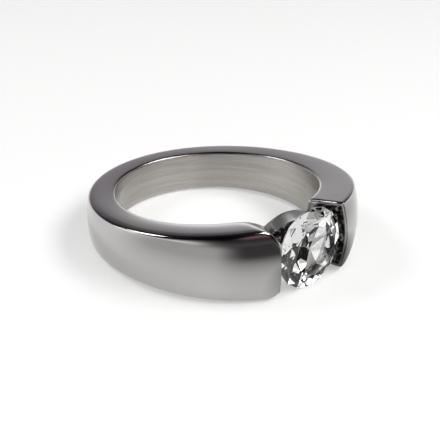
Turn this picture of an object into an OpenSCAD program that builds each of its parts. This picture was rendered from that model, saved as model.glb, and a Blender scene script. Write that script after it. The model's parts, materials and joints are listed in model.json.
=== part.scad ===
// Solitaire ring lying on its side: one cast band with widening shoulders and a round stone held between them.
// Before it is laid down, the finger axis is Z and the setting faces the front, -Y.

/* [Finger hole] */
// Inside diameter of the band
finger_d = 17.3; // [16.5:0.1:18]

/* [Band] */
// Radius of the outer circle, seen along the finger
outer_r = 11.45; // [11.2:0.05:11.6]
// How far the outer circle sits toward the setting
outer_shift = 0.7; // [0.5:0.05:0.8]
// Width of the band at the back
back_w = 3.5; // [3:0.1:4.2]
// Width of the shoulders at the setting
front_w = 5.9; // [5.4:0.1:6.4]
// How much further the lower flank opens at the setting than the upper one
low_extra = 0.3; // [0:0.05:0.35]
// Distance behind the finger axis where the widening starts
flare_start = 9.8; // [6:0.1:10]
// Radius of the dome across the outer face
dome_r = 9.5; // [8:0.5:20]

/* [Setting] */
// Angle from the middle of the setting to the end of each shoulder
gap_angle = 16.8; // [16:0.1:17.2]
// Half the gap between the shoulders at their outer face
rim_half_gap = 3.68; // [3.6:0.01:3.8]
// Rounding of the shoulders' corners
corner_r = 0.85; // [0.5:0.05:1]
// Height of the bridge under the stone at its middle
bridge_h = 5; // [4.4:0.1:5.2]
// Height of the bridge where it meets the shoulders
bridge_end_h = 3.3; // [3:0.1:3.4]
// Thickness of the bridge
bridge_t = 1.1; // [0.9:0.05:1.2]
// Diameter of the window behind the stone
window_d = 3.4; // [3.4:0.05:3.6]

/* [Stone] */
// Diameter of the stone
stone_d = 6.7; // [6.6:0.02:6.74]
// Diameter of the table across its corners
table_d = 4.32; // [4.2:0.02:4.4]
// Distance from the finger axis to the middle of the girdle
girdle_y = 10.88; // [10.8:0.02:10.94]
// Thickness of the girdle
girdle_t = 0.12; // [0.08:0.01:0.16]
// Slope of the crown's main facets in degrees
crown_angle = 27.5; // [27:0.1:28]
// Distance from the finger axis to the stone's point
point_y = 9.32; // [9.2:0.02:9.4]
// Clearance between the stone and its seat
stone_gap = 0.06; // [0.04:0.01:0.08]

/* [Hidden] */
$fn = 128;
// Sides of the large circles, a length that passes everything, and how far a cut passes a face
fine = 720;
past = 40;
overcut = 0.05;

finger_r = finger_d / 2;
back_h = back_w / 2;
front_h = front_w / 2;
stone_r = stone_d / 2;
table_r = table_d / 2;

// How far the dome falls back at a height above the middle plane
function dome_drop(z) = dome_r - sqrt(pow(dome_r, 2) - pow(z, 2));

// Each flank widens along one large arc, tangent to the straight back; low is 0 for the upper one and 1 for the lower
rim_y = outer_shift + sqrt(pow(outer_r, 2) - pow(rim_half_gap, 2));
flare_run = rim_y + flare_start;
function flare_rise(low) = front_h + low * low_extra - back_h;
function flare_r(low) = (pow(flare_run, 2) + pow(flare_rise(low), 2)) / (2 * flare_rise(low));
function flank_h(y, low) = back_h + flare_r(low) - sqrt(pow(flare_r(low), 2) - pow(y + flare_start, 2));
corner_y = 9.5;
// How far a corner's rounding stands past the wall, so that the two cross at a small angle
corner_pass = 0.01;
function corner_slope(low) = asin((corner_y + flare_start) / flare_r(low));

// The girdle, its groove and the lips that hold it
girdle_front_y = girdle_y + girdle_t / 2;
girdle_back_y = girdle_y - girdle_t / 2;
groove_r = stone_r + stone_gap;
lip_y = girdle_front_y + stone_gap + (stone_r - girdle_y * tan(gap_angle)) * tan(crown_angle);
pavilion_h = girdle_back_y - point_y;
pavilion_angle = atan(pavilion_h / stone_r);
seat_back = stone_gap / cos(pavilion_angle);

// Seen from the front, the bridge's edge is an arc through its middle and its two ends
bridge_r = finger_r + bridge_t;
bridge_half_w = finger_r * sin(gap_angle);
bridge_rise = (bridge_h - bridge_end_h) / 2;
bridge_arc_r = (pow(bridge_half_w, 2) + pow(bridge_rise, 2)) / (2 * bridge_rise);

// A round brilliant: eight main facets and eight stars, with sixteen halves on each side of the girdle
mains = 8;
step = 360 / mains;
star_share = 0.526;
half_share = 0.485;
table_h = (stone_r - table_r) * tan(crown_angle);
star_base_r = table_r * cos(step / 2);
star_r = star_base_r + star_share * (stone_r - star_base_r);
star_h = (stone_r - star_r * cos(step / 2)) * tan(crown_angle);
half_r = stone_r * (1 - half_share);
half_depth = (stone_r - half_r * cos(step / 2)) * tan(pavilion_angle);

// The ring lies on the stone's lowest corner and on the lower edge of its back
back_edge_y = outer_r - outer_shift - dome_drop(back_h);
lean = atan((stone_r - back_h) / (girdle_back_y + back_edge_y));
rest_z = back_edge_y * sin(lean) + back_h * cos(lean);
front_reach = girdle_front_y + table_h;
back_reach = outer_r - outer_shift;
middle_y = (front_reach - back_reach) / 2;

// Lays the ring on its side, with the origin under the middle of it
module laid_down() {
    translate([0, middle_y, rest_z]) rotate([-lean, 0, 0]) children();
}

// Outer face: a barrel around the shifted circle
module barrel() {
    translate([0, -outer_shift, 0]) rotate_extrude($fn = fine) intersection() {
        translate([outer_r - dome_r, 0]) circle(dome_r, $fn = fine);
        translate([0, -past / 2]) square(past);
    }
}

// Side view of the band: straight at the back, widening toward the setting
module side_outline() {
    difference() {
        square([past, 2 * front_h + 1], center = true);
        for (flank = [0, 1]) mirror([0, flank]) {
            translate([flare_start, back_h + flare_r(flank)]) circle(flare_r(flank), $fn = 6 * fine);
            translate([flare_start, back_h]) square(past);
        }
    }
}

// Plan view of the gap: radial walls up to the lips, then wider up to the outer face
module gap_outline() {
    lip_x = lip_y * tan(gap_angle);
    widening = (rim_half_gap - lip_x) / (rim_y - lip_y);
    end_y = rim_y + 1;
    end_x = rim_half_gap + widening;
    polygon([[0, 0], [lip_x, -lip_y], [end_x, -end_y], [-end_x, -end_y], [-lip_x, -lip_y]]);
}

// What stays between the shoulders: a strip along the finger hole with arched edges
module bridge() {
    intersection() {
        cylinder(r = bridge_r, h = past, center = true, $fn = fine);
        rotate([90, 0, 0]) linear_extrude(past) intersection() {
            translate([0, bridge_h / 2 - bridge_arc_r]) circle(bridge_arc_r, $fn = fine);
            translate([0, bridge_arc_r - bridge_h / 2]) circle(bridge_arc_r, $fn = fine);
        }
    }
}

// Rounds the edges where the shoulders' ends meet the flanks
module corner_cut() {
    for (flank = [0, 1]) mirror([0, 0, flank]) for (side = [0, 1]) mirror([side, 0, 0])
        rotate(gap_angle) translate([corner_r - corner_pass, -corner_y, flank_h(corner_y, flank) - corner_r])
            rotate([-corner_slope(flank), 0, 0]) difference() {
                translate([-corner_r - overcut, -corner_y / 2, 0]) cube([corner_r + overcut, corner_y, front_h]);
                rotate([90, 0, 0]) cylinder(r = corner_r, h = past, center = true);
            }
}

// Groove for the girdle, the slope under it and the window behind the stone's point
module seat_cut() {
    rotate([90, 0, 0]) rotate_extrude() polygon([
        [0, point_y - seat_back], [groove_r, girdle_back_y - seat_back + stone_gap * tan(pavilion_angle)],
        [groove_r, lip_y], [0, lip_y]
    ]);
    rotate([90, 0, 0]) cylinder(d = window_d, h = bridge_r);
}

module band() {
    color("dimgray") laid_down() difference() {
        intersection() {
            barrel();
            rotate([90, 0, 90]) linear_extrude(past, center = true) side_outline();
        }
        cylinder(r = finger_r, h = past, center = true, $fn = fine);
        difference() {
            linear_extrude(past, center = true) gap_outline();
            bridge();
        }
        corner_cut();
        seat_cut();
    }
}

// A row of points around the stone's axis
function ring_of(count, radius, height, turn = 0) =
    [for (k = [0 : count - 1]) let (a = turn + k * 360 / count) [radius * cos(a), radius * sin(a), height]];

// The stone with its axis along Z and its girdle around the origin
module brilliant() {
    // Rows from the table down to the point, and the index where each row starts
    points = concat(
        ring_of(mains, table_r, girdle_t / 2 + table_h),
        ring_of(mains, star_r, girdle_t / 2 + star_h, step / 2),
        ring_of(2 * mains, stone_r, girdle_t / 2),
        ring_of(2 * mains, stone_r, -girdle_t / 2),
        ring_of(mains, half_r, -girdle_t / 2 - half_depth, step / 2),
        [[0, 0, -girdle_t / 2 - pavilion_h]]
    );
    star = mains;
    upper = 2 * mains;
    lower = 4 * mains;
    half = 6 * mains;
    point = 7 * mains;
    faces = concat(
        [[for (k = [mains - 1 : -1 : 0]) k]],
        [for (k = [0 : mains - 1]) let (next = (k + 1) % mains) [k, next, star + k]],
        [for (k = [0 : mains - 1]) let (last = (k + mains - 1) % mains)
            [k, star + k, upper + 2 * k, star + last]],
        [for (k = [0 : 2 * mains - 1]) let (next = (k + 1) % (2 * mains))
            [star + floor(k / 2), upper + next, upper + k]],
        [for (k = [0 : 2 * mains - 1]) let (next = (k + 1) % (2 * mains))
            [upper + k, upper + next, lower + next, lower + k]],
        [for (k = [0 : 2 * mains - 1]) let (next = (k + 1) % (2 * mains))
            [half + floor(k / 2), lower + k, lower + next]],
        [for (k = [0 : mains - 1]) let (last = (k + mains - 1) % mains)
            [point, half + last, lower + 2 * k, half + k]]
    );
    polyhedron(points, faces);
}

module stone() {
    color("lightcyan") laid_down() translate([0, -girdle_y, 0]) rotate([90, 0, 0]) brilliant();
}

band();
stone();
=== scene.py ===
# %% [markdown]
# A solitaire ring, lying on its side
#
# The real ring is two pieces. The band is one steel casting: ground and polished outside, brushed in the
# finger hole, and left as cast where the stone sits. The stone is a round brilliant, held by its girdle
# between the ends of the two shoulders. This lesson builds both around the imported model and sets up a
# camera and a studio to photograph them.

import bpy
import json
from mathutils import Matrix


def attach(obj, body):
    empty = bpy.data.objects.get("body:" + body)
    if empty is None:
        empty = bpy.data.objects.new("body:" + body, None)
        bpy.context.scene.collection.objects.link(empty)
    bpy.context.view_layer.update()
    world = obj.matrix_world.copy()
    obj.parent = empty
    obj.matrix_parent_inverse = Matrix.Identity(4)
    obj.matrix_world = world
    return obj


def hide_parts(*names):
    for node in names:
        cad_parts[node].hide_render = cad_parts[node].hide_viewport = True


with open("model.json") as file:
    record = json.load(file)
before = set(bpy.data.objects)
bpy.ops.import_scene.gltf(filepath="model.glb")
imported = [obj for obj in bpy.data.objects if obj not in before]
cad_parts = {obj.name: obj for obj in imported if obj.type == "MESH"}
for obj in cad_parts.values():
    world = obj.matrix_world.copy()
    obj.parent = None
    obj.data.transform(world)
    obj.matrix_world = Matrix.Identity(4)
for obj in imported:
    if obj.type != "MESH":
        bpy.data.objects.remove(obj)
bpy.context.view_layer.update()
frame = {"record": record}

# %% Tools
import json
from math import asin, atan, atan2, cos, degrees, hypot, pi, radians, sin, sqrt, tan

import bmesh
import bpy
from mathutils import Matrix, Vector, noise

MM = 0.001

# %% [markdown]
# Where the ring lies
#
# A ring is easiest to model standing in its own space: millimetres, the finger axis along Z, and the
# setting toward -Y. It lies on its side with a small lean, because the stone is taller than the band's
# back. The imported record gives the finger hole's centre, axis and radius, so one matrix lays every finished
# mesh down.

# %% The ring's own space
hole = frame["record"]["mounts"][0]
HOLE_R = hole["dims"]["r_mm"]
hole_centre = Vector(hole["pos_m"])
hole_axis = Vector(hole["axis"])
lean = atan2(hole_axis.y, hole_axis.z)
LAY_DOWN = Matrix.Translation(hole_centre) @ Matrix.Rotation(-lean, 4, "X") @ Matrix.Scale(MM, 4)
print("finger hole radius", HOLE_R, "mm, lean", round(degrees(lean), 2), "degrees")

# %% [markdown]
# The camera
#
# The photo is a close-up: the near side of the ring looks clearly larger than the far side. A camera 80 mm
# away with a long lens gives that perspective. It looks at a point just below the middle of the hole and is
# rolled a few degrees, as the photo is. Its near clipping distance has to be shorter than the usual 0.1 m.

# %% Camera
CAMERA_AZIMUTH = radians(-42.8)
CAMERA_ELEVATION = radians(26.55)
CAMERA_DISTANCE = 80 * MM
CAMERA_ROLL = radians(2.99)
CAMERA_LENS = 76.17
SEEN_FROM = 5 * MM
SEEN_UP_TO = 5
AIM_OFFSET = Vector((-0.12, -0.59, -1.02)) * MM


def direction_to(azimuth, elevation):
    """The unit vector toward an azimuth, counted from -Y toward +X, and an elevation."""
    return Vector((sin(azimuth) * cos(elevation), -cos(azimuth) * cos(elevation), sin(elevation)))


def looking(spot, aim, roll=0.0):
    """A matrix at spot whose -Z points to aim, turned about that line by roll."""
    forward = (aim - spot).normalized()
    level = forward.cross(Vector((0, 0, 1))).normalized()
    upright = level.cross(forward)
    right = level * cos(roll) + upright * sin(roll)
    up = upright * cos(roll) - level * sin(roll)
    turned = Matrix((right, up, -forward)).transposed().to_4x4()
    return Matrix.Translation(spot) @ turned


camera = bpy.data.objects.new("camera", bpy.data.cameras.new("camera"))
camera.data.lens = CAMERA_LENS
camera.data.clip_start = SEEN_FROM
camera.data.clip_end = SEEN_UP_TO
camera_spot = hole_centre + direction_to(CAMERA_AZIMUTH, CAMERA_ELEVATION) * CAMERA_DISTANCE
camera.matrix_world = looking(camera_spot, hole_centre + AIM_OFFSET, CAMERA_ROLL)
bpy.context.scene.collection.objects.link(camera)
bpy.context.scene.camera = camera
print("camera at", [round(x / MM, 1) for x in camera_spot], "mm")

# %% [markdown]
# The shape of the band
#
# Three surfaces make the band. Seen along the finger, its outer circle is shifted toward the setting, so
# the metal is thicker there. Across the outer face runs a soft dome. The two flanks open toward the setting
# along one large arc each, the lower one a little further, and polishing has left them slightly crowned.
# Short functions say how far each surface reaches, and the mesh is later laid onto them.

# %% Sizes of the band in millimetres
OUTER_R = 11.45
OUTER_SHIFT = 0.7
BACK_HALF = 1.75
FRONT_HALF = 2.95
LOW_EXTRA = 0.3
FLARE_START = 9.8
DOME_R = 9.5
BACK_CROWN = 0.014
NEAR_CROWN = 0.068
CROWN_START = -6
CROWN_RUN = 8
GAP_ANGLE = radians(16.8)
RIM_HALF_GAP = 3.68

rim_y = OUTER_SHIFT + sqrt(OUTER_R ** 2 - RIM_HALF_GAP ** 2)
flare_run = rim_y + FLARE_START
flare_rise = FRONT_HALF - BACK_HALF
FLARE_R = (flare_run ** 2 + flare_rise ** 2) / (2 * flare_rise)
low_rise = FRONT_HALF + LOW_EXTRA - BACK_HALF
FLARE_LOW_R = (flare_run ** 2 + low_rise ** 2) / (2 * low_rise)


def smooth_step(share):
    """0 below 0, 1 above 1 and a soft S between."""
    share = min(max(share, 0), 1)
    return share * share * (3 - 2 * share)


def mix(start, end, share):
    """The value at a share of the way from start to end."""
    return start + (end - start) * share


def dome_drop(z):
    """How far the domed outer face falls back at a height above the middle plane."""
    return DOME_R - sqrt(DOME_R ** 2 - z ** 2)


def flank_height(y, across=0.5, near=False, low=False):
    """From the middle plane to a flank, at a distance y from the finger axis toward the setting."""
    run = max(y + FLARE_START, 0)
    toward_setting = smooth_step((y - CROWN_START) / CROWN_RUN)
    crown = mix(BACK_CROWN, NEAR_CROWN, toward_setting) if near else BACK_CROWN
    flare_r = FLARE_LOW_R if low else FLARE_R
    return BACK_HALF + flare_r - sqrt(flare_r ** 2 - run ** 2) - crown * (2 * across - 1) ** 2


def outer_reach(turn, z):
    """From the finger axis to the outer face, at an angle from the setting and a height."""
    radius = OUTER_R - dome_drop(z)
    return OUTER_SHIFT * cos(turn) + sqrt(radius ** 2 - (OUTER_SHIFT * sin(turn)) ** 2)


print("flank radii", round(FLARE_R, 1), "and", round(FLARE_LOW_R, 1), "mm")
print("metal at the back", round(outer_reach(pi, 0) - HOLE_R, 2), "mm")

# %% [markdown]
# The setting
#
# Each shoulder ends in a flat wall that points at the finger axis. Near the outer face the wall falls away
# in a narrow lip. The corners are worn by hand polishing, and not evenly: the near shoulder's upper corner
# is worn far down toward the finger hole, the far one is crisp, and the lower ones are plainly round. A
# shallow groove takes the edge of the stone. A thin arched bridge joins the walls along the finger hole,
# with a round window behind the stone's point.

# %% Sizes of the setting in millimetres
BRIDGE_T = 1.1
BRIDGE_PEAK = 2.6
BRIDGE_SLOPE = 0.5
BRIDGE_NEAR_END = 1.85
BRIDGE_FAR_END = 1.5
BRIDGE_PEAK_AT = -0.25
WINDOW_R = 1.7
GROOVE_R = 3.41
GROOVE_BACK = 10.76
LIP_Y = 11.04

# Each corner: its length along the band and its depth, as (at the finger hole, at the outer face), how slowly
# it starts, and how round it ends: 1 ends on a slope and 2 as a quarter of a circle
CORNERS = {
    "near": {"length": (2.3, 1.5), "depth": (0.75, 1.6), "start": 1.9, "end": 1.0},
    "far": {"length": (0.24, 0.13), "depth": (0.17, 0.11), "start": 2.0, "end": 2.0},
    "low": {"length": (0.65, 0.95), "depth": (0.65, 1.0), "start": 2.0, "end": 2.0},
}

lip_x = LIP_Y * tan(GAP_ANGLE)
LIP_R = LIP_Y / cos(GAP_ANGLE)
GROOVE_BACK_R = GROOVE_BACK / cos(GAP_ANGLE)
LIP_SLOPE = tan(atan2(RIM_HALF_GAP - lip_x, rim_y - LIP_Y) - GAP_ANGLE)
wall_reach = outer_reach(GAP_ANGLE, 0)


def corner_drop(distance, across, corner):
    """How much a worn corner takes off the height, at a distance from the wall."""
    share = max(0, 1 - distance / mix(*corner["length"], across))
    return mix(*corner["depth"], across) * (1 - (1 - share ** corner["start"]) ** (1 / corner["end"]))


print("the wall reaches from", HOLE_R, "to", round(wall_reach, 2), "mm")
print("its lip starts at", round(LIP_R, 2), "mm")

# %% [markdown]
# The band as a spun grid
#
# A bar of quads that follows the ring takes light far better than a shape cut with booleans. It starts as a
# flat grid, the band's cross-section, standing at the far shoulder's wall. Spin carries it round the finger
# axis to the near shoulder's wall, and the start and the end of the bar are those walls. Every vertex
# remembers its place in the cross-section in two layers: how far across it is, from the hole to the outer
# face, and how far up.

# %% Lines of the cross-section
POCKET_LINE = 10.45
GROOVE_STEP = 0.03
wall_lines = [HOLE_R, HOLE_R + BRIDGE_T / 2, HOLE_R + BRIDGE_T, POCKET_LINE,
              GROOVE_BACK_R - GROOVE_STEP, GROOVE_BACK_R + GROOVE_STEP, LIP_R, wall_reach]
ACROSS = [(reach - HOLE_R) / (wall_reach - HOLE_R) for reach in wall_lines]
UP = [-1, -0.74, -0.54, -0.36, -0.18, 0, 0.18, 0.36, 0.54, 0.74, 1]
BRIDGE_LINE = ACROSS[2]
GROOVE_LINE = ACROSS[5]
LIP_LINE = ACROSS[6]
STEPS = 128
CORNER_STEPS = 6
CORNER_REACH = 0.95
NEAR_ZERO = 1e-4


def spun_bar():
    """The bar from wall to wall, as a bmesh with the layers across and up on its vertices."""
    bar = bmesh.new()
    across_layer = bar.verts.layers.float.new("across")
    up_layer = bar.verts.layers.float.new("up")
    columns, rows = len(ACROSS) - 1, len(UP) - 1
    bmesh.ops.create_grid(bar, x_segments=columns, y_segments=rows, size=1)
    for vert in bar.verts:
        vert[across_layer] = ACROSS[round((vert.co.x + 1) / 2 * columns)]
        vert[up_layer] = UP[round((vert.co.y + 1) / 2 * rows)]
        reach = mix(HOLE_R, wall_reach, vert[across_layer])
        vert.co = (reach * sin(GAP_ANGLE), -reach * cos(GAP_ANGLE), vert[up_layer] * FRONT_HALF)
    everything = bar.verts[:] + bar.edges[:] + bar.faces[:]
    bmesh.ops.spin(bar, geom=everything, cent=(0, 0, 0), axis=(0, 0, 1), angle=2 * (pi - GAP_ANGLE),
                   steps=STEPS, use_merge=False)
    return bar, across_layer, up_layer


bar, across_layer, up_layer = spun_bar()
print("spun bar:", len(bar.verts), "vertices,", len(bar.faces), "faces,",
      sum(len(edge.link_faces) != 2 for edge in bar.edges), "open edges")

# %% [markdown]
# The bridge
#
# The bridge grows out of the lower rows of both walls. Those wall faces are removed, bridge_loops joins the
# two openings, and the new edges are divided so that the strip can later bend along the finger hole.

# %% Join the two walls
BRIDGE_CUTS = 15


def turn_of(co):
    """A point's angle round the finger axis, counted from the setting."""
    return atan2(co.x, -co.y) % (2 * pi)


def on_wall(vert):
    """True on the two flat ends of the bar."""
    return min(turn_of(vert.co), 2 * pi - turn_of(vert.co)) < GAP_ANGLE + NEAR_ZERO


def add_bridge(bar):
    """Joins the lower rows of the two walls by a divided strip."""
    low_rows = [face for face in bar.faces if all(on_wall(v) for v in face.verts)
                and max(v[across_layer] for v in face.verts) < BRIDGE_LINE + NEAR_ZERO]
    bmesh.ops.delete(bar, geom=low_rows, context="FACES_ONLY")
    bmesh.ops.delete(bar, geom=[edge for edge in bar.edges if not edge.link_faces], context="EDGES")
    openings = [edge for edge in bar.edges if len(edge.link_faces) == 1]
    strip = bmesh.ops.bridge_loops(bar, edges=openings)
    long_edges = [edge for edge in strip["edges"] if edge.calc_length() > HOLE_R * sin(GAP_ANGLE)]
    bmesh.ops.subdivide_edges(bar, edges=long_edges, cuts=BRIDGE_CUTS, use_grid_fill=True)
    return len(low_rows), len(long_edges)


print("wall faces removed and long edges divided:", add_bridge(bar))

# %% [markdown]
# The bar takes its shape
#
# So far the bar has flat sides. Now its two layers tell every vertex where it lies on the band's surfaces.
# The loops stand close together round a corner and evenly from there on. The walls take the lip and the
# stone's groove, and the bridge is arched, with its peak a little toward the near side. A displacement
# could do the same for one surface, but here several meet, and each vertex has to find where they do.

# %% Places on the shank and the shoulders
MEAN_R = 10
CORNER_BLEND = 5.0
LIP_FADE = 2.5
ROUNDS = 3
half_length = (pi - GAP_ANGLE) * MEAN_R


def distance_from_wall(step):
    """How far a loop stands from its wall: close together round the corner, then evenly."""
    if step <= CORNER_STEPS:
        return CORNER_REACH * (1 - cos(step / CORNER_STEPS * pi / 2))
    return mix(CORNER_REACH, half_length, (step - CORNER_STEPS) / (STEPS / 2 - CORNER_STEPS))


def groove_depth(reach, z):
    """How deep the stone's edge bites into the wall."""
    wall_x = reach * sin(GAP_ANGLE)
    return max(0, sqrt(max(GROOVE_R ** 2 - z ** 2, 0)) - wall_x)


def band_point(across, up, step):
    """Where a vertex of the shank or a shoulder lies: angle and height need each other, so it repeats."""
    near = step > STEPS / 2
    distance = distance_from_wall(STEPS - step if near else step)
    corner = CORNERS["low" if up <= 0 else "near" if near else "far"]
    turn, z = GAP_ANGLE, 0
    even_turn = GAP_ANGLE + distance / MEAN_R
    for _ in range(ROUNDS):
        reach = mix(HOLE_R, outer_reach(turn, z), across)
        lip = max(0, reach - LIP_R) * LIP_SLOPE
        grooved = GROOVE_LINE - NEAR_ZERO < across < LIP_LINE + NEAR_ZERO
        groove = groove_depth(reach, z) if grooved else 0
        back = distance + (lip + groove) * (1 - smooth_step(distance / LIP_FADE))
        blend = smooth_step((distance - CORNER_REACH) / CORNER_BLEND)
        turn = mix(GAP_ANGLE + asin(min(back / reach, 1)), even_turn, blend)
        flank = flank_height(reach * cos(turn), across, near, low=up < 0)
        z = up * (flank - corner_drop(distance, across, corner))
    side = -1 if near else 1
    return Vector((side * reach * sin(turn), -reach * cos(turn), z))


print("half of the bar is", round(half_length, 1), "mm long, its first loop", round(distance_from_wall(1), 3))

# %% Lay the bar onto the band's surfaces
def bridge_point(across, up, share):
    """Where a vertex of the bridge lies, at a share from -1, the near wall, to 1, the far wall."""
    reach = mix(HOLE_R, wall_reach, across)
    end_height = mix(BRIDGE_NEAR_END, BRIDGE_FAR_END, smooth_step((share - BRIDGE_PEAK_AT + 1) / 2))
    side_run = 1 - BRIDGE_PEAK_AT if share > BRIDGE_PEAK_AT else 1 + BRIDGE_PEAK_AT
    arched = mix(BRIDGE_PEAK, end_height, ((share - BRIDGE_PEAK_AT) / side_run) ** 2)
    z = up * (arched - BRIDGE_SLOPE * across / BRIDGE_LINE)
    return Vector((reach * sin(share * GAP_ANGLE), -reach * cos(share * GAP_ANGLE), z))


places = {}
for vert in bar.verts:
    turn = turn_of(vert.co)
    if min(turn, 2 * pi - turn) > GAP_ANGLE - NEAR_ZERO:
        step = round((turn - GAP_ANGLE) / (2 * (pi - GAP_ANGLE)) * STEPS)
        kind = "wall" if step in (0, STEPS) else "band"
        places[vert] = (kind, band_point(vert[across_layer], vert[up_layer], step))
    else:
        chord = mix(HOLE_R, wall_reach, vert[across_layer]) * sin(GAP_ANGLE)
        places[vert] = ("bridge", bridge_point(vert[across_layer], vert[up_layer], vert.co.x / chord))
for vert, (kind, spot) in places.items():
    vert.co = spot
print("laid", len(places), "vertices,", sum(kind == "bridge" for kind, _ in places.values()), "on the bridge")

# %% [markdown]
# The window behind the stone
#
# The window lets light reach the stone's point. A block of quads is removed on both sides of the bridge,
# the quads around it are drawn into rings, and bridge_loops makes the wall of the hole.

# %% Open the window
BLOCK_SHARE = 6 / (BRIDGE_CUTS + 1)
BLOCK_X = BLOCK_SHARE * (HOLE_R + BRIDGE_T / 2) * sin(GAP_ANGLE)
BLOCK_UP = 0.36
BLOCK_Z = BLOCK_UP * (BRIDGE_PEAK - BRIDGE_SLOPE / 2)
RING_LIMIT = 2.3
BLOCK_MIDDLE = 0.5


def draw_into_rings(vert):
    """Moves a vertex of the bridge's two broad faces from a square pattern to a round one near the window."""
    ring = max(abs(vert.co.x / BLOCK_X), abs(vert.co.z / BLOCK_Z))
    if ring > RING_LIMIT or ring < BLOCK_MIDDLE:
        return
    reach = hypot(vert.co.x, vert.co.y)
    heading = Vector((vert.co.x, vert.co.z)).normalized()
    growth = (RING_LIMIT * BLOCK_Z - WINDOW_R) / (RING_LIMIT - 1)
    circle = heading * (WINDOW_R + (ring - 1) * growth)
    keep = smooth_step((ring - 1) / (RING_LIMIT - 1))
    x = mix(circle.x, vert.co.x, keep)
    z = mix(circle.y, vert.co.z, keep)
    vert.co = (x, -sqrt(reach ** 2 - x ** 2), z)


def open_window(bar):
    """Cuts the window and returns how many faces went, and the edges of its two rims."""
    bridge = {vert for vert, (kind, _) in places.items() if kind == "bridge"}
    broad = [f for f in bar.faces if all(v in bridge for v in f.verts)
             and len({round(v[across_layer], 4) for v in f.verts}) == 1]
    block = [f for f in broad if abs(f.calc_center_median().x) < BLOCK_X
             and max(abs(v[up_layer]) for v in f.verts) < BLOCK_UP + NEAR_ZERO]
    rim = [edge for edge in bar.edges if sum(f in block for f in edge.link_faces) == 1]
    for vert in bridge:
        if vert[across_layer] < NEAR_ZERO or abs(vert[across_layer] - BRIDGE_LINE) < NEAR_ZERO:
            draw_into_rings(vert)
    bmesh.ops.delete(bar, geom=block, context="FACES")
    bmesh.ops.bridge_loops(bar, edges=rim)
    return len(block), rim


block_count, window_rim = open_window(bar)
print("faces removed for the window:", block_count, "rim edges:", len(window_rim),
      "open edges:", sum(len(edge.link_faces) != 2 for edge in bar.edges))

# %% [markdown]
# Rounded edges
#
# No edge of a real ring is sharp. Each kind of edge gets its own radius as a bevel weight, a Bevel modifier
# rounds them all at once so that they meet cleanly, and one level of Subdivision Surface smooths the
# curves. The near shoulder's rim and its edge at the hole are softer, because the wheel has worn that side
# most, and the far shoulder's rim is sharper.

# %% Weigh the edges
BEVEL_WIDTH = 0.4
EDGE_RADII = {
    "hole": 0.15, "outer": 0.16, "rim": 0.12, "inner_corner": 0.1, "notch": 0.1,
    "lip": 0.03, "groove": 0.02, "bridge_hole": 0.2, "bridge_stone": 0.12, "window": 0.12,
}
NEAR_SOFTER = {"rim": 0.2, "hole": 0.14}
FAR_SHARPER = 0.06
WEAR_X = 2
WEAR_Y = 4
WEAR_UP_START = -0.2
WEAR_UP_RUN = 0.8


def edge_kind(edge):
    """Which rounding an edge takes, or None."""
    a, b = edge.verts
    if a not in places or b not in places:
        return None
    kinds = {places[a][0], places[b][0]}
    across = {round(v[across_layer], 4) for v in edge.verts}
    up = {round(v[up_layer], 4) for v in edge.verts}
    line = min(across)
    at_flank = up in ({1.0}, {-1.0})
    if kinds == {"wall"}:
        if at_flank and max(across) < BRIDGE_LINE + NEAR_ZERO:
            return "notch"
        named = {1.0: "rim", round(BRIDGE_LINE, 4): "inner_corner", round(LIP_LINE, 4): "lip",
                 round(GROOVE_LINE, 4): "groove"}
        return named.get(line) if len(across) == 1 else None
    if len(across) > 1 or not at_flank:
        return None
    if "bridge" in kinds:
        return {0.0: "bridge_hole", round(BRIDGE_LINE, 4): "bridge_stone"}.get(line)
    return {0.0: "hole", 1.0: "outer"}.get(line)


def edge_radius(kind, edge):
    """The rounding of one edge, softer where the wheel has worn it: high up, on the setting's near side."""
    middle = (edge.verts[0].co + edge.verts[1].co) / 2
    up = sum(vert[up_layer] for vert in edge.verts) / 2
    worn = smooth_step(-middle.x / WEAR_X) * smooth_step((WEAR_Y - middle.y) / WEAR_Y)
    worn *= smooth_step((up - WEAR_UP_START) / WEAR_UP_RUN)
    sharper = FAR_SHARPER if kind == "rim" and middle.x > 0 else 0
    return EDGE_RADII[kind] + NEAR_SOFTER.get(kind, 0) * worn - sharper


weights = bar.edges.layers.float.new("bevel_weight_edge")
counts = {}
for edge in bar.edges:
    kind = "window" if edge in window_rim else edge_kind(edge)
    if kind:
        edge[weights] = edge_radius(kind, edge) / BEVEL_WIDTH
        counts[kind] = counts.get(kind, 0) + 1
print("edges to round:", counts)

# %% Finish the band's mesh
BEVEL_SEGMENTS = 3
SMOOTH_LEVELS = 1


def new_object(name, mesh):
    """Links a mesh into the scene."""
    made = bpy.data.objects.new(name, mesh)
    bpy.context.scene.collection.objects.link(made)
    return made


def apply_modifiers(piece):
    """Replaces a piece's mesh by its finished form."""
    evaluated = piece.evaluated_get(bpy.context.evaluated_depsgraph_get())
    finished = bpy.data.meshes.new_from_object(evaluated)
    piece.modifiers.clear()
    piece.data = finished
    return finished


bmesh.ops.recalc_face_normals(bar, faces=bar.faces)
band_mesh = bpy.data.meshes.new("steel_band")
bar.to_mesh(band_mesh)
bar.free()
band = new_object("steel_band", band_mesh)
rounding = band.modifiers.new("rounding", "BEVEL")
rounding.limit_method = "WEIGHT"
rounding.width = BEVEL_WIDTH
rounding.segments = BEVEL_SEGMENTS
rounding.use_clamp_overlap = False
rounding.miter_outer = "MITER_SHARP"
smoothing = band.modifiers.new("smoothing", "SUBSURF")
smoothing.levels = SMOOTH_LEVELS
smoothing.render_levels = SMOOTH_LEVELS
band_mesh = apply_modifiers(band)
print("band:", len(band_mesh.vertices), "vertices,",
      sum(len(face.vertices) - 2 for face in band_mesh.polygons), "triangles")
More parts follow.
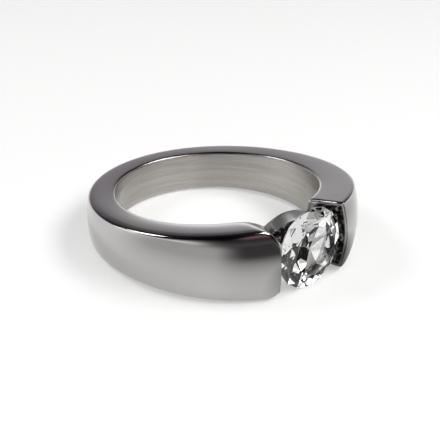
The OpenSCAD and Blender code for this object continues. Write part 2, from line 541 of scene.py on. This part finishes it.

# %% [markdown]
# The skin left by the mould
#
# Inside the setting no wheel can reach, so the metal keeps the skin of the mould: dark, and full of small
# dents. The dark is partly the skin's own tone and partly painted shade of the pocket round the stone. Two
# numbers on each vertex say how much of that skin is left, and how much painted shade darkens it, more
# deeply in the pocket. Where there is some skin, the mesh is divided finely and pushed in and out by a noise
# that looks like hammer marks, because dents in the mesh also show on its outline, which a bump can't do.
# The material later reads the same numbers.

# %% Where the skin is left, in millimetres from the edges of the setting
SKIN_FADE = 0.3
HOLE_SIDE_FADE = 0.5
BRIDGE_SKIN = 0.3
BRIDGE_END_START = 0.68
BRIDGE_END_RUN = 0.25
BACK_START = BRIDGE_T - 0.12
QUICK_FADE = 0.1
POLISHED_LIP = 0.28
POLISHED_LIP_FADE = 0.12
POLISHED_RIM = 0.2
WALL_FROM = -0.1
HOLE_SURFACE = 0.02
# Painted shade of the pocket: it starts this far past the finger hole and is full after this run
POCKET_SHADE_START = 0.45
POCKET_SHADE_RUN = 0.6


def wall_skin(co, reach, into_wall):
    """The skin's share on a shoulder's wall, at a distance behind the wall's surface."""
    far_side = co.x > 0
    polished_from = outer_reach(GAP_ANGLE, co.z) - POLISHED_LIP if far_side else LIP_R
    on_lip = smooth_step((reach - polished_from) / POLISHED_LIP_FADE)
    at_hole = 1 - smooth_step((reach - HOLE_R) / (2 * BRIDGE_T))
    below_rim = flank_height(-co.y) - abs(co.z) - POLISHED_RIM
    under_edge = smooth_step(below_rim / QUICK_FADE) if far_side else 1
    fade = SKIN_FADE + HOLE_SIDE_FADE * at_hole
    return (1 - smooth_step(into_wall / fade)) * (1 - on_lip) * under_edge


def skin_left(co):
    """1 where the metal is as cast and 0 where it is polished, for a point in the ring's own space."""
    reach = hypot(co.x, co.y)
    turn = abs(atan2(co.x, -co.y))
    if reach < HOLE_R + HOLE_SURFACE or turn > 2 * GAP_ANGLE:
        return 0
    lip = max(0, reach - LIP_R) * LIP_SLOPE if co.x > 0 else 0
    groove = groove_depth(reach, co.z) if GROOVE_BACK_R < reach < LIP_R else 0
    into_wall = reach * sin(turn - GAP_ANGLE) - lip - groove
    if into_wall > WALL_FROM:
        return wall_skin(co, reach, into_wall)
    behind_stone = smooth_step((reach - HOLE_R - BACK_START) / QUICK_FADE)
    bridge_end = smooth_step((turn / GAP_ANGLE - BRIDGE_END_START) / BRIDGE_END_RUN)
    return max(behind_stone, bridge_end, BRIDGE_SKIN)


def pocket_shade_at(co):
    """Painted shade on the cast skin: 0 beside the finger hole and 1 deep in the pocket round the stone."""
    return smooth_step((hypot(co.x, co.y) - HOLE_R - POCKET_SHADE_START) / POCKET_SHADE_RUN)


print("skin behind the stone:", skin_left(Vector((0, -HOLE_R - BRIDGE_T, 0))))
print("skin at the back of the ring:", skin_left(Vector((0, OUTER_R, 0))))

# %% Dent the cast metal
DENT_SIZE = 0.45
DENT_DEPTH = 0.08
DENT_EDGE = 0.7
DENT_MIDDLE = 0.45
GRAIN_SHARE = 0.25
SKIN_LIMIT = 0.1
LONGEST_EDGE = 0.08


def dent(co):
    """How far the skin stands out, in millimetres: shallow dents with soft ridges, and a finer grain."""
    distances, _ = noise.voronoi(co / DENT_SIZE)
    grain = noise.fractal(co / (DENT_SIZE / 4), 1.0, 2.0, 2)
    return DENT_DEPTH * (min(distances[0], DENT_EDGE) - DENT_MIDDLE + GRAIN_SHARE * grain)


def give_cast_skin(mesh):
    """Divides and dents the cast part of the mesh and records its skin, and the painted shade on it, as two
    point attributes.
    """
    work = bmesh.new()
    work.from_mesh(mesh)
    rough = {face for face in work.faces if skin_left(face.calc_center_median()) > SKIN_LIMIT}
    long_edges = [edge for edge in work.edges
                  if edge.calc_length() > LONGEST_EDGE and not rough.isdisjoint(edge.link_faces)]
    bmesh.ops.subdivide_edges(work, edges=long_edges, cuts=1, use_grid_fill=True)
    skin = work.verts.layers.float.new("cast_skin")
    pocket_shade = work.verts.layers.float.new("cast_soot")
    work.normal_update()
    shares = {vert: skin_left(vert.co) for vert in work.verts}
    pushes = {vert: vert.normal * dent(vert.co) for vert, share in shares.items() if share}
    for vert, push in pushes.items():
        vert[skin] = shares[vert]
        # Painted shade, deeper in the pocket, kept for the material's colour
        vert[pocket_shade] = pocket_shade_at(vert.co)
        vert.co += push * shares[vert] ** 2
    work.to_mesh(mesh)
    work.free()
    return len(rough), len(pushes)


print("cast faces and dented vertices:", give_cast_skin(band_mesh))

# %% [markdown]
# Faces for two finishes
#
# The wheel's polish and the brush's grain are two materials on one mesh. The faces that look at the finger
# take the brushed one. A brush runs round the hole, so its marks need a map that follows the hole: the map
# is the cylinder rolled out flat, in millimetres round and up. It is made face by face, so that it has no
# smeared seam.

# %% Mark the finger hole and roll it out
BORE_DEPTH = 0.05


def roll_out(mesh):
    """Gives faces at the hole the second material, and each face its place on the rolled-out cylinder."""
    brushing = mesh.uv_layers.new(name="brushing")
    in_bore = 0
    for face in mesh.polygons:
        corners = [mesh.vertices[index].co for index in face.vertices]
        face.material_index = int(max(hypot(co.x, co.y) for co in corners) < HOLE_R + BORE_DEPTH)
        in_bore += face.material_index
        middle = atan2(face.center.x, face.center.y)
        for loop, co in zip(face.loop_indices, corners):
            turn = atan2(co.x, co.y)
            turn -= 2 * pi * round((turn - middle) / (2 * pi))
            brushing.data[loop].uv = (turn * HOLE_R, co.z)
    return in_bore


print("faces in the finger hole:", roll_out(band_mesh), "of", len(band_mesh.polygons))
band_mesh.transform(LAY_DOWN)
band_mesh.shade_smooth()

# %% [markdown]
# The stone
#
# A brilliant is ground from a blank: the cutter sets an angle, presses the blank to the wheel, turns it by
# one index and repeats. bisect_plane does the same here. The blank has sixteen sides, because sixteen small
# facets meet the girdle from each side. Each family of facets has one slope, and each slope follows from
# the points where the facets have to meet: the table's corners, the stars' tips and the girdle. The cut is
# a shallow one, because the stone's point has to stay clear of the finger.

# %% Sizes of the stone in millimetres
STONE_R = 3.35
TABLE_R = 2.16
GIRDLE_Y = 10.88
GIRDLE_T = 0.12
CROWN_ANGLE = radians(27.5)
POINT_Y = 9.32
STAR_SHARE = 0.526
HALF_SHARE = 0.485
MAINS = 8

main_turn = 2 * pi / MAINS
crown_h = (STONE_R - TABLE_R) * tan(CROWN_ANGLE)
star_base_r = TABLE_R * cos(main_turn / 2)
star_r = mix(star_base_r, STONE_R, STAR_SHARE)
star_h = (STONE_R - star_r * cos(main_turn / 2)) * tan(CROWN_ANGLE)
star_slope = atan((crown_h - star_h) / (star_r - star_base_r))
upper_slope = atan(star_h / ((STONE_R - star_r) * cos(main_turn / 4)))
pavilion_h = GIRDLE_Y - GIRDLE_T / 2 - POINT_Y
pavilion_angle = atan(pavilion_h / STONE_R)
half_r = STONE_R * (1 - HALF_SHARE)
half_h = (STONE_R - half_r * cos(main_turn / 2)) * tan(pavilion_angle)
lower_slope = atan(half_h / ((STONE_R - half_r) * cos(main_turn / 4)))
print("slopes: crown", round(degrees(CROWN_ANGLE), 1), "stars", round(degrees(star_slope), 1),
      "upper halves", round(degrees(upper_slope), 1), "pavilion", round(degrees(pavilion_angle), 1),
      "lower halves", round(degrees(lower_slope), 1))

# %% Grind the stone
MERGE_DISTANCE = 2e-3


def grind(gem, facets, slope, reach, height, start=0.0, side=1):
    """Grinds facets of one slope, each through its point at that reach and height; side -1 is the back."""
    for index in range(facets):
        turn = start + index * 2 * pi / facets
        spot = Vector((reach * cos(turn), reach * sin(turn), side * height))
        outward = Vector((sin(slope) * cos(turn), sin(slope) * sin(turn), side * cos(slope)))
        everything = gem.verts[:] + gem.edges[:] + gem.faces[:]
        bmesh.ops.bisect_plane(gem, geom=everything, dist=NEAR_ZERO, plane_co=spot, plane_no=outward,
                               clear_outer=True)
        bmesh.ops.holes_fill(gem, edges=[edge for edge in gem.edges if len(edge.link_faces) == 1])


gem = bmesh.new()
bmesh.ops.create_cone(gem, segments=2 * MAINS, radius1=STONE_R, radius2=STONE_R, depth=3 * STONE_R,
                      cap_ends=True)
girdle_half = GIRDLE_T / 2
chord_r = STONE_R * cos(main_turn / 4)
grind(gem, 1, 0, 0, girdle_half + crown_h)
grind(gem, MAINS, CROWN_ANGLE, STONE_R, girdle_half)
grind(gem, MAINS, star_slope, star_base_r, girdle_half + crown_h, start=main_turn / 2)
grind(gem, 2 * MAINS, upper_slope, chord_r, girdle_half, start=main_turn / 4)
grind(gem, MAINS, pavilion_angle, STONE_R, girdle_half, side=-1)
grind(gem, 2 * MAINS, lower_slope, chord_r, girdle_half, start=main_turn / 4, side=-1)
bmesh.ops.remove_doubles(gem, verts=gem.verts, dist=MERGE_DISTANCE)
bmesh.ops.recalc_face_normals(gem, faces=gem.faces)
print("stone:", len(gem.verts), "vertices,", len(gem.faces), "faces,",
      sum(len(edge.link_faces) != 2 for edge in gem.edges), "open edges")

# %% Set the stone
UPRIGHT_FACE = 0.01
TO_SETTING = Matrix.Translation((0, -GIRDLE_Y, 0)) @ Matrix.Rotation(pi / 2, 4, "X")

girdle_facets = [face for face in gem.faces if abs(face.normal.z) < UPRIGHT_FACE]
for face in girdle_facets:
    face.material_index = 1
print("girdle faces:", len(girdle_facets))

gem_mesh = bpy.data.meshes.new("brilliant")
gem.to_mesh(gem_mesh)
gem.free()
gem_mesh.transform(LAY_DOWN @ TO_SETTING)
brilliant = new_object("brilliant", gem_mesh)

# %% [markdown]
# Tools for finishes
#
# A finish is a small net of nodes. It could be drawn by hand in the shader editor, but in a script each
# kind of node gets a short function with a plain name, so that a finish reads like a recipe: patches of a
# noise, a soft step between two values, a blend of two numbers, a bump on top of another.

# %% Nodes
def add_node(tree, kind, inputs=None, **settings):
    """Adds a shader node and returns its outputs. An input gets a value, or the output that feeds it."""
    made = tree.nodes.new("ShaderNode" + kind)
    for name, value in settings.items():
        setattr(made, name, value)
    for key, value in (inputs or {}).items():
        if isinstance(value, bpy.types.NodeSocket):
            tree.links.new(value, made.inputs[key])
        else:
            made.inputs[key].default_value = value
    return made.outputs


def bare_material(name):
    """A material and its tree."""
    made = bpy.data.materials.new(name)
    made.use_nodes = True
    return made, made.node_tree


def start_material(name, **values):
    """A material with its tree and its shader; values go straight onto the shader's sockets."""
    made, tree = bare_material(name)
    shader = tree.nodes["Principled BSDF"]
    for socket, value in values.items():
        shader.inputs[socket.replace("_", " ")].default_value = value
    return made, tree, shader


# %% Numbers and colours
def reckon(tree, operation, first, second):
    """A number worked out from two others."""
    return add_node(tree, "Math", {0: first, 1: second}, operation=operation)["Value"]


def smooth_between(tree, value, low, high, at_low=0.0, at_high=1.0):
    """A soft step of a value from low to high."""
    limits = {"Value": value, "From Min": low, "From Max": high, "To Min": at_low, "To Max": at_high}
    return add_node(tree, "MapRange", limits, interpolation_type="SMOOTHSTEP")["Result"]


def blend(tree, share, first, second):
    """A number that goes from first to second with share."""
    return add_node(tree, "Mix", {0: share, 2: first, 3: second}, data_type="FLOAT")[0]


def blend_colours(tree, share, first, second):
    """A colour that goes from first to second with share."""
    return add_node(tree, "Mix", {0: share, 6: first, 7: second}, data_type="RGBA")[2]


def add_ramp(tree, factor, stops):
    """A colour ramp from pairs of position and colour."""
    made = tree.nodes.new("ShaderNodeValToRGB")
    tree.links.new(factor, made.inputs[0])
    points = made.color_ramp.elements
    while len(points) < len(stops):
        points.new(0.5)
    for point, (position, colour) in zip(points, stops):
        point.position = position
        point.color = (*colour, 1)
    return made.outputs[0]


# %% Directions, patterns and relief
def turned_to(tree, place, direction):
    """1 where a place lies in that direction, 0 square to it and -1 on the other side."""
    return add_node(tree, "VectorMath", {0: place, 1: direction}, operation="DOT_PRODUCT")["Value"]


def unit_length(tree, place):
    """The direction of a place."""
    return add_node(tree, "VectorMath", {0: place}, operation="NORMALIZE")["Vector"]


def dimmed(tree, colour, factor):
    """A colour times a number."""
    return add_node(tree, "VectorMath", {0: colour, "Scale": factor}, operation="SCALE")["Vector"]


def patches(tree, place, size, detail=2.0, roughness=0.5):
    """A noise from 0 to 1 whose patches are about that size, in the units of place."""
    look = {"Vector": place, "Scale": 1 / size, "Detail": detail, "Roughness": roughness}
    return add_node(tree, "TexNoise", look)["Fac"]


def raise_by(tree, height, distance, under=None):
    """A bump of that height in metres, on top of another normal."""
    inputs = {"Height": height, "Distance": distance, "Strength": 1.0}
    if under:
        inputs["Normal"] = under
    return add_node(tree, "Bump", inputs)["Normal"]


# %% [markdown]
# Polished steel
#
# Steel reflects less than silver, about half of the light, with hardly any tint. A hand-held wheel leaves a
# surface that is mirror-like but never quite flat, so a very low and wide bump bends the reflections, and a
# faint haze varies the roughness. Where the mould's skin is left, the same metal is rougher and grainy, and
# darker, partly for the skin's own tone and partly as painted shade of the pocket, which deepens away from
# the finger hole. The bridge's edge is only satin, and beside the finger hole the skin mirrors little.

# %% Polished steel with its cast skin
MOST_OF_NOISE = (0.3, 0.7)
POLISHED_COLOUR = (0.465, 0.46, 0.455, 1)
HAZE_PATCH = 2.5 * MM
HAZE_ROUGHNESS = (0.085, 0.14)
WAVE_SIZE = 3.0 * MM
WAVE_HEIGHT = 3e-3 * MM
SATIN = 0.38
FULL_SKIN = 0.9
# How much of the dark cast colour stays beside the finger hole, where the pocket has no painted shade
CAST_SHARE_BESIDE_HOLE = 0.7
CHALKY_METAL = 0.3
# The cast skin's mottled colours, very dark partly for the skin's own tone and partly as painted shade of the
# pocket
CAST_AND_SHADE_COLOURS = [(0.4, (0.008, 0.007, 0.007)), (0.55, (0.035, 0.031, 0.031)), (0.7, (0.36, 0.35, 0.345))]
CAST_ROUGHNESS = (0.6, 0.3)
CAST_STEP = (0.35, 0.65)
CAST_PATCH = 0.34 * MM
CAST_HEIGHT = 0.06 * MM


def polished_steel():
    """The metal of everything but the finger hole."""
    made, tree, shader = start_material("polished_steel")
    place = add_node(tree, "TexCoord")["Object"]
    skin = add_node(tree, "Attribute", attribute_name="cast_skin")["Fac"]
    pocket_shade = add_node(tree, "Attribute", attribute_name="cast_soot")["Fac"]
    grain = patches(tree, place, CAST_PATCH, 3.0, 0.6)
    dull = smooth_between(tree, skin, 0.0, BRIDGE_SKIN)
    dark = smooth_between(tree, skin, BRIDGE_SKIN, FULL_SKIN)
    # Painted shade: the dark cast colour takes over fully deep in the pocket and less beside the finger hole
    skin_and_shade = reckon(tree, "MULTIPLY", dark, blend(tree, pocket_shade, CAST_SHARE_BESIDE_HOLE, 1.0))
    chalky = reckon(tree, "MULTIPLY", dark, blend(tree, pocket_shade, 1.0, 0.0))

    haze = smooth_between(tree, patches(tree, place, HAZE_PATCH), *MOST_OF_NOISE, *HAZE_ROUGHNESS)
    satin = blend(tree, dull, haze, SATIN)
    cast_rough = smooth_between(tree, grain, *CAST_STEP, *CAST_ROUGHNESS)
    waves = raise_by(tree, patches(tree, place, WAVE_SIZE, 1.0), WAVE_HEIGHT)
    grains = raise_by(tree, reckon(tree, "MULTIPLY", dark, grain), CAST_HEIGHT, waves)
    colour = blend_colours(tree, skin_and_shade, POLISHED_COLOUR, add_ramp(tree, grain, CAST_AND_SHADE_COLOURS))
    tree.links.new(colour, shader.inputs["Base Color"])
    tree.links.new(blend(tree, chalky, 1.0, CHALKY_METAL), shader.inputs["Metallic"])
    tree.links.new(blend(tree, dark, satin, cast_rough), shader.inputs["Roughness"])
    tree.links.new(grains, shader.inputs["Normal"])
    return made


band_mesh.materials.append(polished_steel())
print("polished steel over", sum(face.material_index == 0 for face in band_mesh.polygons), "faces")

# %% [markdown]
# Brushed steel
#
# The hole is finished with abrasive on a spindle. Its grooves run round the hole, so light spreads up and
# down, not along them: that is anisotropy, with the tangent taken from the rolled-out map and turned by a
# quarter. The grooves themselves are a noise that is stretched forty times along the map, for both the bump
# and the colour, and a second, broader noise gathers them into bands.

# %% Brushed steel of the finger hole
BRUSHED_COLOURS = [(0.0, (0.375, 0.36, 0.335)), (0.5, (0.42, 0.405, 0.38)), (1.0, (0.465, 0.45, 0.425))]
BRUSHED_ROUGHNESS = (0.26, 0.40)
STREAK_STEP = (0.75, 1.25)
FINE_STRETCH = (0.28, 11, 1)
BROAD_STRETCH = (0.12, 2.2, 1)
GROOVE_HEIGHT = 3e-3 * MM


def brushed_steel():
    """The metal of the finger hole."""
    made, tree, shader = start_material("brushed_steel", Metallic=1, Anisotropic=0.75,
                                        Anisotropic_Rotation=0.25)
    rolled = add_node(tree, "UVMap", uv_map="brushing")["UV"]
    fine = add_node(tree, "Mapping", {"Vector": rolled, "Scale": FINE_STRETCH})["Vector"]
    broad = add_node(tree, "Mapping", {"Vector": rolled, "Scale": BROAD_STRETCH})["Vector"]
    grooves = patches(tree, fine, 1.0, 3.0, 0.6)
    streaks = reckon(tree, "ADD", grooves, patches(tree, broad, 1.0, 2.0))
    colour = add_ramp(tree, smooth_between(tree, streaks, *STREAK_STEP), BRUSHED_COLOURS)
    roughness = smooth_between(tree, grooves, *MOST_OF_NOISE, *BRUSHED_ROUGHNESS)
    tangent = add_node(tree, "Tangent", direction_type="UV_MAP", uv_map="brushing")["Tangent"]
    tree.links.new(colour, shader.inputs["Base Color"])
    tree.links.new(roughness, shader.inputs["Roughness"])
    tree.links.new(raise_by(tree, grooves, GROOVE_HEIGHT), shader.inputs["Normal"])
    tree.links.new(tangent, shader.inputs["Tangent"])
    return made


band_mesh.materials.append(brushed_steel())
print("brushed steel over", sum(face.material_index for face in band_mesh.polygons), "faces")

# %% [markdown]
# Zirconia
#
# Cubic zirconia bends light far more than glass does, with an index of refraction of 2.16, so light that
# enters through the crown is thrown back by the facets behind. Clear stone needs no colour and no
# roughness: all that it shows is the room. Only the girdle is left matt from grinding.

# %% Clear stone and ground girdle
ZIRCONIA_INDEX = 2.16
ZIRCONIA_FINISHES = {"clear_zirconia": 0.0, "ground_girdle": 0.3}

for name, roughness in ZIRCONIA_FINISHES.items():
    zirconia, _, _ = start_material(name, Base_Color=(1, 1, 1, 1), Transmission_Weight=1, IOR=ZIRCONIA_INDEX,
                                    Roughness=roughness)
    gem_mesh.materials.append(zirconia)
    print(name, "with an index of", ZIRCONIA_INDEX, "and a roughness of", roughness)

# %% [markdown]
# The studio
#
# Polished metal has no colour of its own to show: it shows the room, so the room is worked out from what
# the ring shows. The horizon is bright at the ring's back and sides and falls off upward, faster toward the
# front. Straight in front it is almost dark, with a faint reddish patch low down, and a narrow panel at the
# back reaches a little higher. A picture of a room could light the ring as well, but a few soft steps over
# the sky's directions are easier to move one by one. The lamps follow in a cell of their own.

# %% Bright horizon
FRONT_AZIMUTH = radians(-15)
PANEL_AZIMUTH = radians(143.5)
PANEL_OUTSIDE = radians(6.5)
PANEL_INSIDE = radians(3.5)
PANEL_RISE = 0.035
# How far round toward the front, from -1 at the back to 1, the horizon grows steeper, and how much
STEEPER_STEP = (-0.2, 0.4)
STEEPER_TIMES = 2.5
# Heights, as the sine of the elevation, and colours
SKY_COLOURS = [
    (0.0, (1.3, 1.3, 1.32)), (0.105, (1.28, 1.28, 1.31)), (0.139, (0.9, 0.89, 0.92)),
    (0.165, (0.66, 0.65, 0.67)), (0.208, (0.51, 0.49, 0.51)), (0.242, (0.40, 0.38, 0.40)),
    (0.276, (0.26, 0.24, 0.26)), (0.33, (0.13, 0.12, 0.13)), (0.45, (0.03, 0.026, 0.03)),
    (1.0, (0.005, 0.004, 0.005)),
]

world = bpy.data.worlds.new("studio")
world.use_nodes = True
bpy.context.scene.world = world
sky = world.node_tree
toward = add_node(sky, "TexCoord")["Generated"]
height = add_node(sky, "SeparateXYZ", {0: toward})["Z"]
front = direction_to(FRONT_AZIMUTH, 0)
facing = turned_to(sky, toward, front)
steeper = smooth_between(sky, facing, *STEEPER_STEP, 1.0, STEEPER_TIMES)
level = add_node(sky, "VectorMath", {0: toward, 1: (1, 1, 0)}, operation="MULTIPLY")["Vector"]
to_panel = turned_to(sky, unit_length(sky, level), direction_to(PANEL_AZIMUTH, 0))
on_panel = smooth_between(sky, to_panel, cos(PANEL_OUTSIDE), cos(PANEL_INSIDE), 0.0, PANEL_RISE)
fall = reckon(sky, "SUBTRACT", reckon(sky, "MULTIPLY", height, steeper), on_panel)
horizon = add_ramp(sky, fall, SKY_COLOURS)
print("brightest part of the horizon:", SKY_COLOURS[0][1])

# %% Dark front with its patch
FRONT_STEP = (0.55, 0.9)
FRONT_LIGHT = 0.09
PATCH_COLOUR = (0.3, 0.18, 0.18)
PATCH_LOW_EDGE = (0.13, 0.16)
PATCH_HIGH_EDGE = (0.3, 0.42)
PATCH_SIDES = (0.93, 0.985)

open_side = smooth_between(sky, facing, *FRONT_STEP, 1.0, FRONT_LIGHT)
over_low_edge = smooth_between(sky, height, *PATCH_LOW_EDGE)
under_high_edge = smooth_between(sky, height, *PATCH_HIGH_EDGE, 1.0, 0.0)
at_front = smooth_between(sky, facing, *PATCH_SIDES)
patch = reckon(sky, "MULTIPLY", reckon(sky, "MULTIPLY", over_low_edge, under_high_edge), at_front)
parts = {0: dimmed(sky, horizon, open_side), 1: dimmed(sky, PATCH_COLOUR, patch)}
lit = add_node(sky, "VectorMath", parts, operation="ADD")["Vector"]
sky.links.new(lit, sky.nodes["Background"].inputs["Color"])
print("dark side toward", [round(x, 2) for x in front])

# %% [markdown]
# Lamps
#
# Softboxes high in front of the setting, to its right and at the ring's back, and a low window at the back,
# draw the thin white lines on the rounded edges. The fill lamp near the camera only brightens what is matt,
# such as the floor: mirror-like rays don't see it, or it would lie as a white sheet on the polished flank.

# %% Softboxes
LAMP_DISTANCE = 0.3
# Name, azimuth and elevation in degrees, width and height in metres, and radiance
SOFTBOXES = [
    ("high_softbox", 16, 46, 0.14, 0.11, 6),
    ("side_softbox", 54, 53, 0.17, 0.12, 7),
    ("back_softbox", -140, 46, 0.15, 0.085, 7),
    ("window", -130, 15, 0.12, 0.07, 2.5),
    ("fill", -45, 45, 0.3, 0.2, 2.2),
]


def add_softbox(name, azimuth, elevation, width, height, radiance):
    """A rectangular soft light that looks at the ring; radiance 1 shows as plain white."""
    light = bpy.data.lights.new(name, "AREA")
    light.shape = "RECTANGLE"
    light.size = width
    light.size_y = height
    light.energy = radiance * pi * width * height
    made = bpy.data.objects.new(name, light)
    spot = hole_centre + direction_to(radians(azimuth), radians(elevation)) * LAMP_DISTANCE
    made.matrix_world = looking(spot, hole_centre)
    bpy.context.scene.collection.objects.link(made)
    return made


lamps = {softbox[0]: add_softbox(*softbox) for softbox in SOFTBOXES}
lamps["fill"].visible_glossy = False
print("lamps:", ", ".join(lamps))

# %% [markdown]
# Floor, card and tent
#
# The floor is a pale sheet with a little glow of its own, so that it comes out nearly white. The steel
# would mirror all of it, so a card lies on it that only mirror-like rays see: clear under the ring and at
# its back, darker toward the front, with a dark spot before the stone. The stone needs a room of its own
# too. Its facets throw light back from every side, and lamps in a dark sky would give it only a few sparks,
# so rays that pass through it see a tent: an even white glow with two dark parts and a bright one.

# %% Floor
FLOOR_HALF = 1.2
SHEET = {"x_segments": 1, "y_segments": 1, "size": FLOOR_HALF}


def stage_object(name, material, maker, **sizes):
    """An object of the studio, made by one bmesh operator."""
    work = bmesh.new()
    maker(work, **sizes)
    mesh = bpy.data.meshes.new(name)
    work.to_mesh(mesh)
    work.free()
    mesh.materials.append(material)
    made = new_object(name, mesh)
    return made


def unseen_by(made, *rays):
    """Hides an object of the studio from some kinds of rays."""
    for ray in rays:
        setattr(made, "visible_" + ray, False)


pale_floor, _, _ = start_material("pale_floor", Base_Color=(0.6, 0.6, 0.597, 1), Roughness=0.6,
                                  Emission_Color=(1, 1, 0.995, 1), Emission_Strength=0.36)
stage_object("floor", pale_floor, bmesh.ops.create_grid, **SHEET)
print("the floor is", 2 * FLOOR_HALF, "m wide")

# %% Dark card
CARD_HEIGHT = 0.05 * MM
CARD_STARTS = 6 * MM
CARD_FULL = 34 * MM
CARD_SIDES = (-0.3, 0.3)
CARD_SIDE_SHARE = 0.38
CARD_FRONT = (0.84, 0.99)
CARD_FRONT_SHARE = 0.58
CARD_COLOUR = (0.02, 0.017, 0.017, 1)
DARK_SPOT = (4 * MM, -15.5 * MM, CARD_HEIGHT)
SPOT_CORE = 3 * MM
SPOT_EDGE = 12 * MM
SPOT_SHARE = 0.95


def card_material():
    """Clear round the ring and at its back, darker at its sides, darkest in front and before the stone."""
    made, tree = bare_material("dark_card")
    place = add_node(tree, "TexCoord")["Object"]
    away = add_node(tree, "VectorMath", {0: place}, operation="LENGTH")["Value"]
    from_spot = add_node(tree, "VectorMath", {0: place, 1: DARK_SPOT}, operation="DISTANCE")["Value"]
    to_front = turned_to(tree, unit_length(tree, place), front)
    sides = smooth_between(tree, to_front, *CARD_SIDES, 0.0, CARD_SIDE_SHARE)
    ahead = smooth_between(tree, to_front, *CARD_FRONT, 0.0, CARD_FRONT_SHARE)
    outward = smooth_between(tree, away, CARD_STARTS, CARD_FULL)
    spot = smooth_between(tree, from_spot, SPOT_CORE, SPOT_EDGE, SPOT_SHARE, 0.0)
    darkening = reckon(tree, "MULTIPLY", outward, reckon(tree, "ADD", sides, ahead))
    share = reckon(tree, "MAXIMUM", darkening, spot)
    nothing = add_node(tree, "BsdfTransparent")["BSDF"]
    dark = add_node(tree, "BsdfDiffuse", {"Color": CARD_COLOUR})["BSDF"]
    mixed = add_node(tree, "MixShader", {0: share, 1: nothing, 2: dark})["Shader"]
    tree.links.new(mixed, tree.nodes["Material Output"].inputs["Surface"])
    return made


card = stage_object("dark_card", card_material(), bmesh.ops.create_grid, **SHEET,
                    matrix=Matrix.Translation((0, 0, CARD_HEIGHT)))
unseen_by(card, "camera", "diffuse", "shadow", "volume_scatter", "transmission")
print("the card lies", round(CARD_HEIGHT / MM, 2), "mm above the floor")

# %% Tent for the stone
TENT_R = 0.6
TENT_COLOUR = (1, 1.02, 0.97, 1)
TENT_DARK = (0.02, 0.018, 0.017, 1)
TENT_BRIGHT = (2.6, 2.55, 2.65, 1)
# Azimuth, elevation and radius in degrees, and colour
TENT_PARTS = [(96, 63, 27, TENT_DARK), (-150, 40, 40, TENT_DARK), (2, 0, 29, TENT_BRIGHT)]
TENT_SOFTNESS = 3


def tent_material():
    """An even glow with darker and brighter round parts, each with a soft edge."""
    made, tree = bare_material("tent")
    outward = unit_length(tree, add_node(tree, "TexCoord")["Object"])
    colour = TENT_COLOUR
    for azimuth, elevation, radius, part_colour in TENT_PARTS:
        near_it = turned_to(tree, outward, direction_to(radians(azimuth), radians(elevation)))
        on_part = smooth_between(tree, near_it, cos(radians(radius + TENT_SOFTNESS)),
                                 cos(radians(radius - TENT_SOFTNESS)))
        colour = blend_colours(tree, on_part, colour, part_colour)
    glow = add_node(tree, "Emission", {"Color": colour, "Strength": 1.0})["Emission"]
    tree.links.new(glow, tree.nodes["Material Output"].inputs["Surface"])
    return made


tent = stage_object("tent", tent_material(), bmesh.ops.create_uvsphere, u_segments=48, v_segments=24,
                    radius=TENT_R)
unseen_by(tent, "camera", "diffuse", "shadow", "volume_scatter", "glossy")
print("the tent reaches", TENT_R, "m and has", len(TENT_PARTS), "parts of another brightness")

# %% [markdown]
# Ride and finish
#
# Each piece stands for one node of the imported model. Nothing in a ring moves, so both ride on its one body.
# The picture is shown with plain colours, because a film-like view would grey the white floor.

# %% Ride, replace and finish
bpy.context.scene.view_settings.view_transform = "Standard"
for piece, node, slot in ((band, "band", "polished_steel"), (brilliant, "stone", "clear_stone")):
    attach(piece, "root")
    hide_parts(node)
